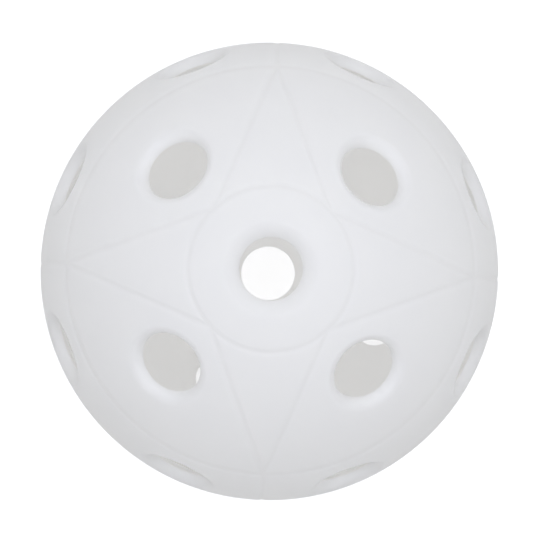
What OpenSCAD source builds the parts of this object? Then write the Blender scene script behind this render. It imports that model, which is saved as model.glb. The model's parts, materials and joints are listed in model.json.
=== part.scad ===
// Floorball ball
// Two moulded half shells with 26 rounded air holes, lapped and welded together at the equator.
// The origin is the centre of the ball, and Z runs through the two polar holes.

/* [Ball] */
// Outside diameter of the ball
ball_d = 72; // [68:0.5:80]
// Thickness of the shell's wall
wall = 1.9; // [1.6:0.1:2.2]
// Turn of the rear half against the front half, in degrees
rear_turn = 24.8; // [0:0.1:90]

/* [Air holes] */
// Bore of the polar hole in each half
pole_hole_d = 9.2; // [7:0.1:10.5]
// Bore of the four mid holes in each half
mid_hole_d = 9.7; // [7:0.1:10.5]
// Bore of the eight equator holes in each half
equator_hole_d = 9.7; // [7:0.1:10.5]
// Radius of the rounded outer edge of the mid and equator holes
rim_r = 1.4; // [0.8:0.1:1.5]
// Radius of the rounded countersink of the polar hole
sink_r = 2.5; // [2:0.1:2.8]
// Slope at which the countersink meets the polar bore, in degrees
sink_slope = 58; // [50:1:60]
// Angle from the pole to the mid holes
mid_angle = 35.8; // [33:0.1:39]
// Angle from the pole to the equator holes
equator_angle = 73.8; // [70:0.1:74.5]

/* [Seam] */
// Width of the broken edge on each side of the seam
seam_break = 0.15; // [0.05:0.05:0.3]
// Height of the lap on the rear half
lap_h = 1.2; // [0.8:0.1:1.6]
// Thickness of the lap on the rear half
lap_t = 0.85; // [0.7:0.05:1]
// Clearance around the lap
lap_gap = 0.05; // [0.02:0.01:0.1]
// Radius of the weld bead
bead_r = 0.6; // [0.3:0.1:0.8]

/* [Mould lines] */
// Angle from the pole to the inner ring line
inner_ring_angle = 19.7; // [17:0.1:22]
// Angle from the pole to the outer ring line
outer_ring_angle = 59; // [57:0.1:60]
// Width of the outer ring line
outer_ring_w = 1.8; // [1:0.1:2.2]
// Width of the other mould lines
line_w = 0.5; // [0.2:0.05:0.8]
// Depth of the mould lines
line_depth = 0.1; // [0.03:0.01:0.12]

/* [Hidden] */
$fn = 180;
mid_holes = 4;
equator_holes = 2 * mid_holes;
ball_r = ball_d / 2;
inner_r = ball_r - wall;
lap_r = inner_r + lap_t;
// The inner end of the lap's joint, where the weld bead lies
joint_z = lap_h + lap_gap / 2;
joint_r = sqrt(pow(inner_r, 2) - pow(joint_z, 2));
// Room by which a cutter passes the wall on each side
overcut = 3;
// A rim's arc stands this far proud, so it crosses the ball's surface at a clear angle
rim_proud = 0.02;
inner_ring_r = ball_r * sin(inner_ring_angle);
outer_ring_r = ball_r * sin(outer_ring_angle);
shell_colour = "#f1f1ee";
bead_colour = "#e6e6e2";

// One air hole along Z: a straight bore with a rounded outer edge
module air_hole(bore_d) {
    bore_r = bore_d / 2;
    rim_x = bore_r + rim_r;
    rim_reach = ball_r - rim_r + rim_proud;
    rim_z = sqrt(pow(rim_reach, 2) - pow(rim_x, 2));
    rim_edge = rim_x * (1 + rim_r / rim_reach);
    floor_z = inner_r - overcut;
    top_z = ball_r + overcut;
    rotate_extrude() difference() {
        translate([0, floor_z]) square([rim_edge, top_z - floor_z]);
        translate([rim_x, rim_z]) circle(r = rim_r);
        translate([bore_r, floor_z - overcut]) square([rim_x, rim_z - floor_z + overcut]);
    }
}

// The polar hole: a straight bore with a wide rounded countersink
module pole_hole() {
    bore_r = pole_hole_d / 2;
    sink_x = bore_r + sink_r * sin(sink_slope);
    sink_reach = ball_r - sink_r + rim_proud;
    sink_z = sqrt(pow(sink_reach, 2) - pow(sink_x, 2));
    sink_edge = sink_x * (1 + sink_r / sink_reach);
    floor_z = inner_r - overcut;
    top_z = ball_r + overcut;
    rotate_extrude() difference() {
        translate([0, floor_z]) square([sink_edge, top_z - floor_z]);
        difference() {
            translate([sink_x, sink_z]) circle(r = sink_r);
            translate([bore_r - sink_r, sink_z - sink_r]) square([sink_r, 2 * sink_r]);
        }
        translate([bore_r, floor_z - overcut]) square([sink_x, sink_z - floor_z + overcut]);
    }
}

// The thirteen air holes of one half
module air_holes() {
    pole_hole();
    for (i = [0 : mid_holes - 1])
        rotate([0, mid_angle, (i + 0.5) * 360 / mid_holes]) air_hole(mid_hole_d);
    for (i = [0 : equator_holes - 1])
        rotate([0, equator_angle, (i + 0.5) * 360 / equator_holes]) air_hole(equator_hole_d);
}

// A ring line, narrowed in plan so that it has its width on the ball's surface
module ring_line(angle, width) {
    r = ball_r * sin(angle);
    half_w = width * cos(angle) / 2;
    difference() {
        circle(r = r + half_w);
        circle(r = r - half_w);
    }
}

// Star with its tips on the outer ring and its inner corners on the inner ring
module star(grow) {
    step = 180 / mid_holes;
    edge_x = inner_ring_r * cos(step) - outer_ring_r;
    edge_y = inner_ring_r * sin(step);
    edge_reach = outer_ring_r * edge_y / norm([edge_x, edge_y]);
    size = 1 + grow / edge_reach;
    polygon([for (i = [0 : 2 * mid_holes - 1])
        let (r = size * (i % 2 == 0 ? outer_ring_r : inner_ring_r))
        [r * cos(i * step), r * sin(i * step)]]);
}

// Mould lines seen from the pole: two rings, the star between them and a tick from each tip to the seam
module line_plan() {
    ring_line(inner_ring_angle, line_w);
    ring_line(outer_ring_angle, outer_ring_w);
    difference() {
        star(line_w / 2);
        star(-line_w / 2);
    }
    for (i = [0 : mid_holes - 1])
        rotate(i * 360 / mid_holes)
            translate([outer_ring_r, -line_w / 2]) square([ball_r + overcut - outer_ring_r, line_w]);
}

module mould_lines() {
    difference() {
        translate([0, 0, -overcut]) linear_extrude(height = ball_r + 2 * overcut) line_plan();
        sphere(r = ball_r - line_depth);
    }
}

// Section of one half's wall, from the seam to the pole
module wall_section() {
    difference() {
        circle(r = ball_r);
        circle(r = inner_r);
        translate([-ball_d, -ball_r]) square([ball_d, ball_d]);
        translate([-ball_d, -ball_d]) square([2 * ball_d, ball_d]);
        translate([ball_r, 0]) rotate(45) square(seam_break * sqrt(2), center = true);
    }
}

// Section of the lap, whose inner face carries on the inside of the ball
module lap_section(gap) {
    difference() {
        translate([joint_r - overcut, 0]) square([lap_r + gap - joint_r + overcut, lap_h + gap]);
        circle(r = inner_r);
    }
}

module front_half_shell() {
    color(shell_colour) difference() {
        rotate_extrude() wall_section();
        rotate_extrude() lap_section(lap_gap);
        air_holes();
        mould_lines();
    }
}

module rear_half_shell() {
    color(shell_colour) rotate(rear_turn) {
        rotate([180, 0, 0]) difference() {
            rotate_extrude() wall_section();
            air_holes();
            mould_lines();
        }
        rotate_extrude() lap_section(0);
    }
}

module weld_bead() {
    color(bead_colour) rotate_extrude() intersection() {
        translate([joint_r, joint_z]) circle(r = bead_r);
        circle(r = inner_r);
    }
}

front_half_shell();
rear_half_shell();
weld_bead();
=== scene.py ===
import json
import math

import bpy
import numpy as np
from mathutils import Matrix, Vector


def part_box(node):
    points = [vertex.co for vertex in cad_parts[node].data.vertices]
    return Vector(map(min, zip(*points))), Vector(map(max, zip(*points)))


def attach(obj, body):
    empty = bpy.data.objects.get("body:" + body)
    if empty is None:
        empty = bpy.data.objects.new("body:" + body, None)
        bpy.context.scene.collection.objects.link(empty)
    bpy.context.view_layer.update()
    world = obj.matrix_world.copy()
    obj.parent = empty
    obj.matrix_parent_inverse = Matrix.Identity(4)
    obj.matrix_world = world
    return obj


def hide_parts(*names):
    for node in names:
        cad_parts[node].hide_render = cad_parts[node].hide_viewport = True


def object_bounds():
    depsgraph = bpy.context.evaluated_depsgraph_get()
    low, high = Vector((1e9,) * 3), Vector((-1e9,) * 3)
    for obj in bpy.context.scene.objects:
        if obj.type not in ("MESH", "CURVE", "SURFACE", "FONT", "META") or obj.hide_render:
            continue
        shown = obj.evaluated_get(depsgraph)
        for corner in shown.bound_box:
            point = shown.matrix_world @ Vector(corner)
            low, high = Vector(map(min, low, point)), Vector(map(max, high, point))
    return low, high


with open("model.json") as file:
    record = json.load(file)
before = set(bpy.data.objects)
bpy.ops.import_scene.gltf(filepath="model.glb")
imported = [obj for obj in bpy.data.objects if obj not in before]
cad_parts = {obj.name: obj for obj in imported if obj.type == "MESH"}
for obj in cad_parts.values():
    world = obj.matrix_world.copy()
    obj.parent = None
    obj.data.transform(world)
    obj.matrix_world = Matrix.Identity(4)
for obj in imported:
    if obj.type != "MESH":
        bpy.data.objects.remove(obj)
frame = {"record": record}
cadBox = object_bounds()
mm = 0.001

# the frame gives the ball's radius, the polar bore and the height it stands at
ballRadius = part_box("front_half_shell")[1].x / mm
poleBoreRadius = next(m for m in frame["record"]["mounts"] if m["name"] == "polar_bore")["dims"]["r_mm"]
floorHeight = cadBox[0].z
print("frame loaded, ball radius", round(ballRadius, 3), "mm")


def addNode(tree, kind, values=None, links=None, **settings):  # one shader node, set and linked
    node = tree.nodes.new(kind)
    for name, value in settings.items():
        setattr(node, name, value)
    for socket, value in (values or {}).items():
        node.inputs[socket].default_value = value
    for socket, source in (links or {}).items():
        tree.links.new(source, node.inputs[socket])
    return node


def linear(hexColour):  # sRGB hex to linear RGBA
    srgb = np.array([int(hexColour[i:i + 2], 16) for i in (1, 3, 5)]) / 255
    rgb = np.where(srgb <= 0.04045, srgb / 12.92, ((srgb + 0.055) / 1.055) ** 2.4)
    return (*rgb.tolist(), 1.0)


def perMetre(sizeMm):  # texture scale whose features are sizeMm wide
    return 1 / (sizeMm * mm)


def newMaterial(name):  # a node material with nothing in it yet
    material = bpy.data.materials.new(name)
    material.use_nodes = True
    material.node_tree.nodes.clear()
    return material, material.node_tree


halfShell = {  # sizes in mm, angles in degrees from the pole
    "wall": 1.9,
    "midBoreRadius": 4.85,
    "equatorBoreRadius": 4.85,
    "midAngle": 35.8,
    "equatorAngle": 73.8,
    "rimRadius": 1.4,
    "rimSlope": 90.0,  # slope at which a hole's rounded edge meets its bore
    "poleRimRadius": 2.5,
    "poleRimSlope": 58.0,
    "insideEdgeRadius": 0.1,
    "innerRingAngle": 19.7,
    "outerRingAngle": 59.0,
    "outerRingReach": (1.3, 0.8),  # towards the pole and towards the seam
    "lineWidth": 1.4,  # from edge to edge of the soft groove, which is half as wide at half its depth
    "lineDepth": 0.1,
    "seamEdgeRadius": 0.15,
    "lapHeight": 1.2,
    "lapThickness": 0.85,
    "lapGap": 0.05,
    "rearTurn": 24.8,
    "tipStep": 90.0,  # from one star tip to the next; mid holes lie halfway, equator holes at each half of that
}
shellGrid = {  # points along each boundary, and rows of each stretch of a hole's profile
    "ringArc": 28,
    "starEdge": 48,
    "meridian": 26,
    "starArm": 9,
    "lineSteps": (0, 0.25, 0.5, 0.75, 1.0, 1.5),  # in half widths of a mould line
    "outside": 9,
    "rim": 12,
    "insideEdge": 5,
    "inside": 9,
    "leastSlant": 0.35,  # rows spread no further than this allows where a boundary turns sharply
    "mergeStep": 0.00005,  # mm, points closer than this are one
    "sharpAngle": 50.0,  # degrees, edges steeper than this shade as edges
}
innerRadius = ballRadius - halfShell["wall"]
lapRadius = innerRadius + halfShell["lapThickness"]
halfStep = halfShell["tipStep"] / 2
tiny = 1e-9


def unit(vectors):  # scaled to length 1
    return vectors / np.linalg.norm(vectors, axis=-1, keepdims=True)


def eased(count):  # 0 to 1, closer together at both ends: (1 - cos(pi x)) / 2
    return (1 - np.cos(np.pi * np.linspace(0, 1, count))) / 2


def direction(polar, azimuth):  # unit vectors from angles in degrees
    polar, azimuth = np.broadcast_arrays(np.radians(polar), np.radians(azimuth))
    return np.stack([np.sin(polar) * np.cos(azimuth), np.sin(polar) * np.sin(azimuth), np.cos(polar)], -1)


def ringArc(polar, start, end):  # along a circle round the pole: polar angle fixed, azimuth running
    return direction(polar, start + (end - start) * eased(shellGrid["ringArc"]))


def meridian(azimuth, start, end):  # from pole to seam: azimuth fixed, polar angle running
    return direction(start + (end - start) * eased(shellGrid["meridian"]), azimuth)


def starEdge(corner, tip):  # straight as seen from the pole, lifted onto the sphere
    a = direction(halfShell["innerRingAngle"], corner)[:2]
    b = direction(halfShell["outerRingAngle"], tip)[:2]
    plan = a + (b - a) * eased(shellGrid["starEdge"])[:, None]
    return np.concatenate([plan, np.sqrt(1 - (plan ** 2).sum(-1, keepdims=True))], -1)


def closedLoop(*curves):  # the curves end to end, without the repeated corners
    return np.concatenate([curve[:-1] for curve in curves])


def relief(d):
    # depth in mm at a place on the sphere: a raised cosine of the distance from the nearest mould line,
    # and a quarter circle at the seam; the star is folded onto one half of one arm
    polar = np.arccos(np.clip(d[..., 2], -1, 1))
    half = math.radians(halfStep)
    fromTip = np.abs((np.arctan2(d[..., 1], d[..., 0]) + half) % (2 * half) - half)
    innerRing = np.radians(halfShell["innerRingAngle"])
    outerRing = np.radians(halfShell["outerRingAngle"])
    plan = np.sin(polar)[..., None] * np.stack([np.cos(fromTip), np.sin(fromTip)], -1)
    tip = np.array([np.sin(outerRing), 0])
    corner = np.sin(innerRing) * np.array([math.cos(half), math.sin(half)])
    along = unit(corner - tip)
    across = np.array([-along[1], along[0]])
    planGap = np.abs((plan - tip) @ across)
    lean = np.sqrt(np.maximum(1 - (plan @ across) ** 2, tiny))
    between = (polar > innerRing - tiny) & (polar < outerRing + tiny)
    halfLine = halfShell["lineWidth"] / 2 / ballRadius
    gaps = np.stack([
        np.abs(polar - innerRing) / halfLine,
        np.abs(polar - outerRing) * ballRadius / np.where(polar < outerRing, *halfShell["outerRingReach"]),
        np.where(between, planGap / lean, 1) / halfLine,
        np.where(polar > outerRing, np.sin(polar) * fromTip, 1) / halfLine,
    ])
    nearest = np.minimum(gaps.min(0), 1)
    groove = halfShell["lineDepth"] * (1 + np.cos(np.pi * nearest)) / 2
    edge = halfShell["seamEdgeRadius"]
    short = np.maximum(edge - np.abs(np.pi / 2 - polar) * ballRadius, 0)
    return np.maximum(groove, edge - np.sqrt(np.maximum(edge ** 2 - short ** 2, 0)))


def insideOf(d, lapReach):  # boundary on the inside: below the outer ring it is stretched to the lap's end
    polar = np.degrees(np.arccos(np.clip(d[..., 2], -1, 1)))
    azimuth = np.degrees(np.arctan2(d[..., 1], d[..., 0]))
    ring = halfShell["outerRingAngle"]
    lapAngle = 90 + math.degrees(math.asin(lapReach / innerRadius))
    stretched = ring + (polar - ring) * (lapAngle - ring) / (90 - ring)
    return direction(np.where(polar > ring, stretched, polar), azimuth)


def holePatch(axis, boreRadius, rim, slope, loop, lapReach):
    # profile carried round the hole: sphere from the boundary in, rim arc, bore, inside edge, sphere back out;
    # the first rows keep fixed distances from the boundary, so that they follow the mould line along it
    out = unit(loop - (loop @ axis)[:, None] * axis)
    slope = math.radians(slope)
    rimX = boreRadius + rim * math.sin(slope)
    rimZ = math.sqrt((ballRadius - rim) ** 2 - rimX ** 2)
    lean = math.atan2(rimX, rimZ)
    start = math.cos(lean) * axis + math.sin(lean) * out
    reach = np.arccos(np.clip((start * loop).sum(-1), -1, 1)) * ballRadius
    side = unit(np.roll(loop, -1, 0) - np.roll(loop, 1, 0))
    towards = unit(out - (out * loop).sum(-1)[:, None] * loop)
    slant = np.maximum(np.linalg.norm(np.cross(side, towards), axis=-1), shellGrid["leastSlant"])
    ringHeight = math.cos(math.radians(halfShell["outerRingAngle"]))
    ringReach = halfShell["outerRingReach"][int(axis[2] < ringHeight)]
    lineReach = np.where(np.abs(loop[:, 2] - ringHeight) < tiny, ringReach, halfShell["lineWidth"] / 2)
    lineRows = np.array(shellGrid["lineSteps"])[:, None] * lineReach / slant / reach
    restRows = lineRows[-1] + (1 - lineRows[-1]) * np.linspace(0, 1, shellGrid["outside"] + 1)[1:, None]
    rows = 1 - np.concatenate([lineRows, restRows])[..., None]
    outside = unit(start + (loop - start) * rows)
    outside = outside * (ballRadius - relief(outside))[..., None]
    turn = np.linspace(lean, -slope, shellGrid["rim"] + 1)[1:, None, None]
    rimArc = rimX * out + rimZ * axis + rim * (np.sin(turn) * out + np.cos(turn) * axis)
    edge = halfShell["insideEdgeRadius"]
    edgeX = boreRadius + edge
    edgeZ = math.sqrt((innerRadius + edge) ** 2 - edgeX ** 2)
    edgeLean = math.atan2(edgeX, edgeZ)
    turn = np.linspace(-math.pi / 2, edgeLean - math.pi, shellGrid["insideEdge"])[:, None, None]
    edgeArc = edgeX * out + edgeZ * axis + edge * (np.sin(turn) * out + np.cos(turn) * axis)
    end = math.cos(edgeLean) * axis + math.sin(edgeLean) * out
    rows = np.linspace(0, 1, shellGrid["inside"] + 1)[1:, None, None]
    inside = innerRadius * unit(end + (insideOf(loop, lapReach) - end) * rows)
    return np.concatenate([outside, rimArc, edgeArc, inside])


def armSpread(polar, half):
    # azimuths across a star arm: from each edge in by fixed steps over the mould line,
    # closer together where the arm is too narrow for them
    steps = np.array(shellGrid["lineSteps"]) * halfShell["lineWidth"] / 2
    count = len(steps) + shellGrid["starArm"]
    halfMm = np.maximum(np.radians(half) * np.sin(np.radians(polar)) * ballRadius, tiny)
    near = np.minimum(steps / halfMm, np.arange(len(steps)) / count)
    rest = near[..., -1:] + (1 - near[..., -1:]) * np.linspace(0, 1, shellGrid["starArm"] + 1)[1:]
    inward = half * (1 - np.concatenate([near, rest], -1))
    return np.concatenate([-inward[..., :-1], inward[..., ::-1]], -1)


def starArm(tip):  # rows of constant polar angle between the edges of one star arm, from inner ring to tip
    edge = starEdge(tip + halfStep, tip)
    polar = np.degrees(np.arccos(edge[:, 2]))[:, None]
    half = np.abs((np.degrees(np.arctan2(edge[:, 1], edge[:, 0])) - tip + 180) % 360 - 180)[:, None]
    d = direction(polar, tip + armSpread(polar, half))
    return [(d * (ballRadius - relief(d))[..., None])[:, ::-1], innerRadius * d]


def gridFaces(shape, first, wrap):  # quads over rows and columns, closed round the columns where wrap is set
    index = first + np.arange(shape[0] * shape[1]).reshape(shape)
    if wrap:
        index = np.concatenate([index, index[:, :1]], 1)
    return np.stack([index[:-1, :-1], index[:-1, 1:], index[1:, 1:], index[1:, :-1]], -1).reshape(-1, 4)


def weld(points, quads, skins):  # merges equal points and drops the repeated corners of collapsed quads
    keys = np.round(points / shellGrid["mergeStep"]).astype(np.int64)
    _, first, index = np.unique(keys, axis=0, return_index=True, return_inverse=True)
    quads = index.reshape(-1)[quads]
    repeated = quads == np.roll(quads, -1, 1)
    whole, three = ~repeated.any(1), repeated.sum(1) == 1
    faces = quads[whole].tolist() + quads[three][~repeated[three]].reshape(-1, 3).tolist()
    return points[first], faces, np.concatenate([skins[whole], skins[three]])


def shellGrids(lapReach, lapWall):
    # one half with its pole up: each grid of points, whether it closes round,
    # and how many of its rows of faces lie on the outside
    inner, outer = halfShell["innerRingAngle"], halfShell["outerRingAngle"]
    closed, arms = [], []
    tips = np.arange(0, 360, halfShell["tipStep"])
    halves = np.arange(0, 360, halfStep)
    armBase = armSpread(np.array([inner]), np.array([halfStep]))
    ring = closedLoop(*[direction(inner, tip + armBase) for tip in tips])
    closed.append(holePatch(np.array([0.0, 0, 1]), poleBoreRadius, halfShell["poleRimRadius"],
                            halfShell["poleRimSlope"], ring, lapReach))
    rim = halfShell["rimRadius"], halfShell["rimSlope"]
    for tip in tips:
        corner, nextTip = tip + halfStep, tip + 2 * halfStep
        loop = closedLoop(starEdge(corner, tip), ringArc(outer, tip, corner),
                          ringArc(outer, corner, nextTip), starEdge(corner, nextTip)[::-1])
        axis = direction(halfShell["midAngle"], corner)
        closed.append(holePatch(axis, halfShell["midBoreRadius"], *rim, loop, lapReach))
        arms.append(starArm(tip))
    for start in halves:
        end = start + halfStep
        loop = closedLoop(meridian(start, outer, 90), ringArc(90, start, end),
                          meridian(end, outer, 90)[::-1], ringArc(outer, start, end)[::-1])
        axis = direction(halfShell["equatorAngle"], start + halfStep / 2)
        closed.append(holePatch(axis, halfShell["equatorBoreRadius"], *rim, loop, lapReach))
    seam = closedLoop(*[ringArc(90, start, start + halfStep) for start in halves])
    level = np.array([0, 0, -lapReach])
    strip = np.stack([innerRadius * insideOf(seam, lapReach), lapWall * seam + level, lapWall * seam,
                      (ballRadius - relief(seam))[:, None] * seam])
    outsideRows = len(shellGrid["lineSteps"]) + shellGrid["outside"] + shellGrid["rim"]
    grids = [(patch, True, outsideRows) for patch in closed] + [(strip, True, 0)]
    grids += [(outside, False, len(outside)) for outside, _ in arms]
    return grids + [(inside, False, 0) for _, inside in arms]


def meshObject(name, points, faces, skins, materials, node):
    # points in mm and their faces become a mesh that stands for a CAD node; skins picks each face's material
    mesh = bpy.data.meshes.new(name)
    mesh.from_pydata((points * mm).tolist(), [], faces)
    for material in materials:
        mesh.materials.append(material)
    mesh.polygons.foreach_set("material_index", skins.astype(np.int32))
    mesh.validate()
    mesh.polygons.foreach_set("use_smooth", np.ones(len(mesh.polygons), bool))
    mesh.set_sharp_from_angle(angle=math.radians(shellGrid["sharpAngle"]))
    piece = bpy.data.objects.new(name, mesh)
    bpy.context.scene.collection.objects.link(piece)
    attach(piece, "root")
    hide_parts(node)
    print(name, len(mesh.vertices), "points", len(mesh.polygons), "faces")
    return piece


def halfShellPiece(name, node, lapReach, lapWall, turn, materials):
    # all grids of one half joined into one closed surface, then turned to its place
    points, quads, skins, first = [], [], [], 0
    for grid, wrap, outsideRows in shellGrids(lapReach, lapWall):
        rows, columns = grid.shape[:2]
        quads.append(gridFaces((rows, columns), first, wrap))
        points.append(grid.reshape(-1, 3))
        skins.append(np.repeat(np.arange(rows - 1) >= outsideRows, columns if wrap else columns - 1))
        first += rows * columns
    points, faces, skins = weld(np.concatenate(points), np.concatenate(quads), np.concatenate(skins))
    return meshObject(name, points @ np.array(turn).T, faces, skins, materials, node)


plasticSurface = {  # what all the finishes share
    "ior": 1.51,
    "cloudRange": (0.3, 0.7),  # noise values between which one colour passes into the other
    "cloudDetail": 3.0,
    "grainDetail": 2.0,
    "grainStrength": 0.12,
}
mouldedPlastic = {  # white polyethylene moulded in a finely eroded tool: satin, translucent, faintly uneven
    "name": "moulded white polyethylene",
    "colours": ("#f8fafd", "#fbfdff"),
    "throughColour": "#fefdfa",  # the plastic scatters blue light back, so what passes is warmer
    "cloudSize": 7.0,  # mm, uneven filling
    "grainSize": 0.5,  # mm; the tool's grain is about 0.05 mm, drawn coarser so that it shows
    "grainDepth": 0.02,
    "roughness": (0.6, 0.7),
    "through": 0.5,  # share of light that passes on through the surface
    # painted shade: mm below the ball's surface, and the share of the colour kept there; it darkens the
    # mould-line grooves, the holes' rounded rims and the seam's edge, and stands in for thin plastic sending
    # less light back
    "paintedShadeByDepth": ((0.0, 1.0), (0.1, 0.955), (0.35, 0.95), (0.8, 0.945), (1.9, 0.925)),
}
coreSidePlastic = {  # the inside, moulded on a plain matt core: it lets out nearly all the light in the wall
    "name": "core side of white polyethylene",
    "colours": ("#f8f8f7", "#fbfbfa"),
    "throughColour": "#fefdfa",
    "cloudSize": 9.0,
    "grainSize": 0.8,
    "grainDepth": 0.03,
    "roughness": (0.5, 0.6),
    "through": 0.92,
}
meltedPlastic = {  # the same plastic after melting: dense and white, smoother, with ripples
    "name": "melted white polyethylene",
    "colours": ("#f8f8f7", "#fdfdfc"),
    "throughColour": "#fefdfa",
    "cloudSize": 3.0,
    "grainSize": 1.2,
    "grainDepth": 0.05,
    "roughness": (0.28, 0.36),
    "through": 0.05,
}


def paintShadeByDepth(tree, place, colour, paintedShades):
    # painted shade: depth = (ball radius - distance from the centre) / deepest, looked up in a ramp that
    # darkens the colour in the grooves, round the rims and at the seam
    deepest = paintedShades[-1][0]
    distance = addNode(tree, "ShaderNodeVectorMath", links={0: place}, operation="LENGTH")
    depth = addNode(tree, "ShaderNodeMapRange",
                    {"From Min": ballRadius * mm, "From Max": (ballRadius - deepest) * mm},
                    {"Value": distance.outputs["Value"]})
    ramp = addNode(tree, "ShaderNodeValToRGB", links={"Fac": depth.outputs["Result"]})
    stops = ramp.color_ramp.elements
    while len(stops) < len(paintedShades):
        stops.new(0.5)
    for stop, (at, share) in zip(stops, paintedShades):
        stop.position = at / deepest
        stop.color = (share, share, share, 1.0)
    return addNode(tree, "ShaderNodeMix", {"Factor": 1.0}, {"A": colour, "B": ramp.outputs["Color"]},
                   data_type="RGBA", blend_type="MULTIPLY").outputs["Result"]


def polyethylene(finish):
    # clouds of two near whites under a satin surface; light that gets through shows behind the wall
    material, tree = newMaterial(finish["name"])
    place = addNode(tree, "ShaderNodeTexCoord").outputs["Object"]
    clouds = addNode(tree, "ShaderNodeTexNoise",
                     {"Scale": perMetre(finish["cloudSize"]), "Detail": plasticSurface["cloudDetail"]},
                     {"Vector": place})
    tint = addNode(tree, "ShaderNodeValToRGB", links={"Fac": clouds.outputs["Fac"]})
    stops = zip(tint.color_ramp.elements, plasticSurface["cloudRange"], finish["colours"])
    for stop, position, colour in stops:
        stop.position = position
        stop.color = linear(colour)
    colour = tint.outputs["Color"]
    # painted shade on the outside: the colour is darker the deeper the surface lies below the ball's sphere
    if "paintedShadeByDepth" in finish:
        colour = paintShadeByDepth(tree, place, colour, finish["paintedShadeByDepth"])
    gloss = addNode(tree, "ShaderNodeMapRange",
                    {"To Min": finish["roughness"][0], "To Max": finish["roughness"][1]},
                    {"Value": clouds.outputs["Fac"]})
    grain = addNode(tree, "ShaderNodeTexNoise",
                    {"Scale": perMetre(finish["grainSize"]), "Detail": plasticSurface["grainDetail"]},
                    {"Vector": place})
    bump = addNode(tree, "ShaderNodeBump",
                   {"Strength": plasticSurface["grainStrength"], "Distance": finish["grainDepth"] * mm},
                   {"Height": grain.outputs["Fac"]})
    skin = addNode(tree, "ShaderNodeBsdfPrincipled", {"IOR": plasticSurface["ior"]},
                   {"Base Color": colour, "Roughness": gloss.outputs["Result"],
                    "Normal": bump.outputs["Normal"]})
    through = addNode(tree, "ShaderNodeBsdfTranslucent", {"Color": linear(finish["throughColour"])})
    wall = addNode(tree, "ShaderNodeMixShader", {0: finish["through"]},
                   {1: skin.outputs[0], 2: through.outputs[0]})
    addNode(tree, "ShaderNodeOutputMaterial", links={"Surface": wall.outputs[0]})
    return material


shellSkins = polyethylene(mouldedPlastic), polyethylene(coreSidePlastic)  # outside and inside
upright = Matrix.Identity(3)
flipped = Matrix.Rotation(math.radians(halfShell["rearTurn"]), 3, "Z") @ Matrix.Rotation(math.pi, 3, "X")
# the front half has the rebate, so its inside stops above the seam, and the rear half's lap runs past it
halfShellPiece("frontHalf", "front_half_shell", -halfShell["lapHeight"] - halfShell["lapGap"],
               lapRadius + halfShell["lapGap"], upright, shellSkins)
halfShellPiece("rearHalf", "rear_half_shell", halfShell["lapHeight"], lapRadius, flipped, shellSkins)

weldBead = {
    "radius": 0.6,  # mm
    "standOff": 0.01,  # mm clear of the wall, so that the two surfaces don't share one place
    "waves": ((7, 0.05), (19, 0.04), (31, 0.03)),  # how many round the ring, and share of the radius
    "round": 360, "section": 14, "back": 6,  # points round the ring, over the crown and along the back
}


def weldBeadPiece():
    # half-round profile carried round the joint: its radius is the set one less a sum of small waves,
    # and its back lies along the inside of the wall
    t = np.linspace(0, 2 * np.pi, weldBead["round"], endpoint=False)[None, :]
    shrink = sum(share * (1 + np.sin(count * t + count)) / 2 for count, share in weldBead["waves"])
    size = weldBead["radius"] * (1 - shrink)
    jointZ = halfShell["lapHeight"] + halfShell["lapGap"] / 2
    jointR = math.sqrt(innerRadius ** 2 - jointZ ** 2)
    crown = np.linspace(-np.pi / 2, np.pi / 2, weldBead["section"])[:, None]
    z = jointZ + size * np.sin(crown)
    r = np.minimum(jointR - size * np.cos(crown), np.sqrt(innerRadius ** 2 - z ** 2))
    zBack = jointZ + size * np.linspace(1, -1, weldBead["back"])[1:-1, None]
    z = np.concatenate([z, zBack])
    r = np.concatenate([r, np.sqrt(innerRadius ** 2 - zBack ** 2)])
    r = r - weldBead["standOff"]
    grid = np.stack([r * np.cos(t), r * np.sin(t), z + 0 * t], -1)
    grid = np.concatenate([grid, grid[:1]])[::-1]
    quads = gridFaces(grid.shape[:2], 0, True)
    points, faces, skins = weld(grid.reshape(-1, 3), quads, np.zeros(len(quads), bool))
    return meshObject("weldBead", points, faces, skins, [polyethylene(meltedPlastic)], "weld_bead")


weldBeadPiece()

studio = {  # sizes and places in metres
    "floorRadius": 0.7,
    "floorThickness": 0.05,
    "floorRings": (0, 0.1, 0.3, 0.6, 1),  # shares of the radius
    "floorRound": 64,
    "floorColour": "#fbfbfb",
    "floorThrough": 0.9,  # share of light that goes into the sheet
    "floorGlow": 0.45,  # the camera sees this glow and the shaded share together: white where light reaches
    "floorShade": 0.8,
    "worldStrength": 0.33,
    "worldLean": (0.14, 0.5, 0.6),  # share by which the room is lighter along x, y and z
    "lampPower": 15.9,
    "lampSize": 1.2,
    "lampPlace": (0.0, 0.04, 1.45),
    "lampColour": (0.88, 0.895, 1.0),
}


def showsWhite(tree):  # 1 for rays that see the background, also in gloss or glass; 0 for scattered light
    rays = addNode(tree, "ShaderNodeLightPath")
    seen = addNode(tree, "ShaderNodeMath", operation="MAXIMUM",
                   links={0: rays.outputs["Is Camera Ray"], 1: rays.outputs["Is Glossy Ray"]})
    seen = addNode(tree, "ShaderNodeMath", operation="MAXIMUM",
                   links={0: seen.outputs[0], 1: rays.outputs["Is Transmission Ray"]})
    # light scattered through the plastic counts as transmission too, and must not gain from the white
    return addNode(tree, "ShaderNodeMath", operation="SUBTRACT", use_clamp=True,
                   links={0: seen.outputs[0], 1: rays.outputs["Is Diffuse Ray"]}).outputs[0]


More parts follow.
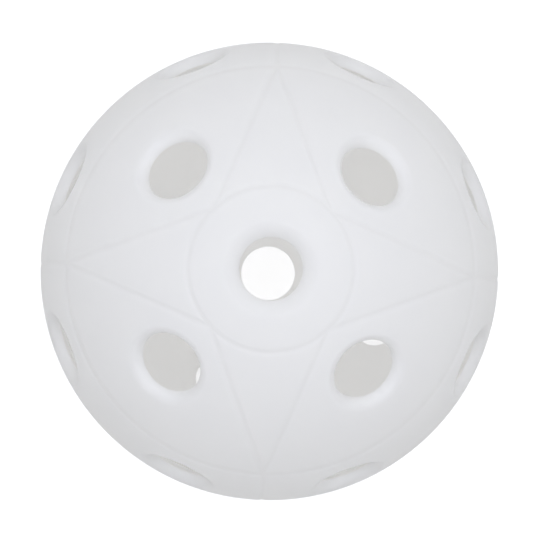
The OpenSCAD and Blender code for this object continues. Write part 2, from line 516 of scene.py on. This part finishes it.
def studioFloor():
    # slab of milky acrylic on a white base, round like the light on it: rings of points from the middle
    # of the base out, up and back in over the top
    angle = np.linspace(0, 2 * np.pi, studio["floorRound"], endpoint=False)
    radii = studio["floorRadius"] * np.array(studio["floorRings"])
    baseFaces = (len(radii) - 1) * len(angle)
    heights = np.repeat([floorHeight - studio["floorThickness"], floorHeight], len(radii))[:, None]
    radii = np.concatenate([radii, radii[::-1]])[:, None]
    grid = np.stack([radii * np.cos(angle), radii * np.sin(angle), heights + 0 * angle], -1) / mm
    quads = gridFaces(grid.shape[:2], 0, True)
    points, faces, isBase = weld(grid.reshape(-1, 3), quads, np.arange(len(quads)) < baseFaces)
    mesh = bpy.data.meshes.new("studioFloor")
    mesh.from_pydata((points * mm).tolist(), [], faces)
    material, tree = newMaterial("milky acrylic sheet")
    white = linear(studio["floorColour"])
    skin = addNode(tree, "ShaderNodeBsdfDiffuse", {"Color": white})
    through = addNode(tree, "ShaderNodeBsdfTranslucent", {"Color": white})
    sheet = addNode(tree, "ShaderNodeMixShader", {0: studio["floorThrough"]},
                    {1: skin.outputs[0], 2: through.outputs[0]})
    dim = addNode(tree, "ShaderNodeBsdfDiffuse", {"Color": (studio["floorShade"],) * 3 + (1.0,)})
    glow = addNode(tree, "ShaderNodeEmission", {"Strength": studio["floorGlow"]})
    seen = addNode(tree, "ShaderNodeAddShader", links={0: dim.outputs[0], 1: glow.outputs[0]})
    mix = addNode(tree, "ShaderNodeMixShader",
                  links={0: showsWhite(tree), 1: sheet.outputs[0], 2: seen.outputs[0]})
    addNode(tree, "ShaderNodeOutputMaterial", links={"Surface": mix.outputs[0]})
    base, tree = newMaterial("white base board")
    addNode(tree, "ShaderNodeOutputMaterial",
            links={"Surface": addNode(tree, "ShaderNodeBsdfDiffuse", {"Color": white}).outputs[0]})
    mesh.materials.append(material)
    mesh.materials.append(base)
    mesh.polygons.foreach_set("material_index", isBase.astype(np.int32))
    floor = bpy.data.objects.new("studioFloor", mesh)
    bpy.context.scene.collection.objects.link(floor)


def studioLight():
    # a room whose strength is worldStrength * (1 + worldLean . direction), and one large softbox overhead
    world = bpy.data.worlds.new("studio")
    bpy.context.scene.world = world
    world.use_nodes = True
    tree = world.node_tree
    tree.nodes.clear()
    facing = addNode(tree, "ShaderNodeTexCoord").outputs["Generated"]  # a world's direction
    lean = addNode(tree, "ShaderNodeVectorMath", {1: studio["worldLean"]}, {0: facing},
                   operation="DOT_PRODUCT")
    level = addNode(tree, "ShaderNodeMath", {1: studio["worldStrength"], 2: studio["worldStrength"]},
                    {0: lean.outputs["Value"]}, operation="MULTIPLY_ADD")
    room = addNode(tree, "ShaderNodeBackground", links={"Strength": level.outputs[0]})
    white = addNode(tree, "ShaderNodeBackground", {"Strength": 1.0})
    for background in (room, white):
        background.inputs["Color"].default_value = (1, 1, 1, 1)
    mix = addNode(tree, "ShaderNodeMixShader",
                  links={0: showsWhite(tree), 1: room.outputs[0], 2: white.outputs[0]})
    addNode(tree, "ShaderNodeOutputWorld", links={"Surface": mix.outputs[0]})
    lamp = bpy.data.lights.new("softbox", "AREA")
    lamp.energy = studio["lampPower"]
    lamp.color = studio["lampColour"]
    lamp.size = studio["lampSize"]
    softbox = bpy.data.objects.new("softbox", lamp)
    softbox.location = studio["lampPlace"]
    softbox.rotation_euler = (-softbox.location).to_track_quat("-Z", "Y").to_euler()
    bpy.context.scene.collection.objects.link(softbox)


studioFloor()
studioLight()
print("floor and light placed")

photoCamera = {  # fitted to the outline and holes of the 533 px picture
    "pixels": 533,
    "distance": 400.0,  # mm from the ball's centre
    "focalPixels": 2532.7,
    "sensorWidth": 36.0,  # mm
    "leanRight": 0.39,  # degrees that the pole leans in the picture
    "leanUp": 0.6,
    "roll": -1.92,
    "centre": (2.9, 4.8),  # px of the ball's centre right of and below the picture's
}


def placeCamera():
    # the view turns the ball by roll, leanRight and leanUp; the camera stands on that view's axis,
    # and the lens's shift brings the ball's centre to its place in the picture
    lens = bpy.data.cameras.new("photoCamera")
    lens.sensor_width = photoCamera["sensorWidth"]
    lens.lens = lens.sensor_width * photoCamera["focalPixels"] / photoCamera["pixels"]
    lens.shift_x = -photoCamera["centre"][0] / photoCamera["pixels"]
    lens.shift_y = photoCamera["centre"][1] / photoCamera["pixels"]
    camera = bpy.data.objects.new("photoCamera", lens)
    ballToView = (Matrix.Rotation(-math.radians(photoCamera["leanUp"]), 3, "X")
                  @ Matrix.Rotation(math.radians(photoCamera["leanRight"]), 3, "Y")
                  @ Matrix.Rotation(math.radians(photoCamera["roll"]), 3, "Z"))
    viewToBall = ballToView.transposed()
    place = viewToBall @ Vector((0, 0, photoCamera["distance"] * mm))
    camera.matrix_world = Matrix.Translation(place) @ viewToBall.to_4x4()
    bpy.context.scene.collection.objects.link(camera)
    bpy.context.scene.camera = camera


placeCamera()
bpy.context.scene.view_settings.view_transform = "Standard"
print("camera placed")
